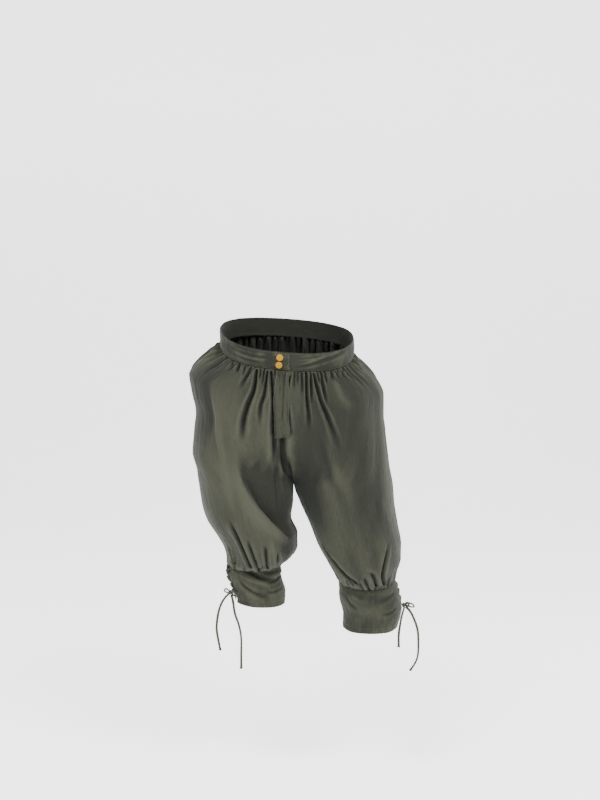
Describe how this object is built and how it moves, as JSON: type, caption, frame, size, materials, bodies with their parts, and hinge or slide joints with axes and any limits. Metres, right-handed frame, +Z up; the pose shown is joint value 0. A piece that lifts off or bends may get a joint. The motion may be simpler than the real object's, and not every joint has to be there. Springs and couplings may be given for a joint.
{
  "type": "worn knee breeches with laced knee cuffs",
  "caption": "Full historic knee breeches as worn: gathered legs, deep waistband with round buttons, fly, open side pockets and knee cuffs laced down the outside.",
  "frame": {"origin": "middle of the wearer's waist, level with the middle of the waistband's height at the sides", "axes": "+Z up, +X to the wearer's left, -Y the front"},
  "size_m": [0.5537, 0.3232, 0.8541],
  "materials": {
    "cloth": "matt dark olive-green cotton, fine plain weave",
    "lace": "dark olive-green flat cotton lace",
    "button": "satin golden-yellow metal"
  },
  "bodies": {
    "root": {"back_left": "cloth", "back_right": "cloth", "bow_left_a": "lace", "bow_left_b": "lace", "bow_right_a": "lace", "bow_right_b": "lace", "button_lower": "button", "button_upper": "button", "cuff_left": "cloth", "cuff_right": "cloth", "fly_placket": "cloth", "front_left": "cloth", "front_right": "cloth", "knot_left": "lace", "knot_right": "lace", "lace_left": "lace", "lace_right": "lace", "loops_left_back": "lace", "loops_left_front": "lace", "loops_right_back": "lace", "loops_right_front": "lace", "pocket_bag_left_inner": "cloth", "pocket_bag_left_outer": "cloth", "pocket_bag_right_inner": "cloth", "pocket_bag_right_outer": "cloth", "tie_left_a": "lace", "tie_left_b": "lace", "tie_right_a": "lace", "tie_right_b": "lace", "waistband": "cloth"}
  },
  "joints": []
}
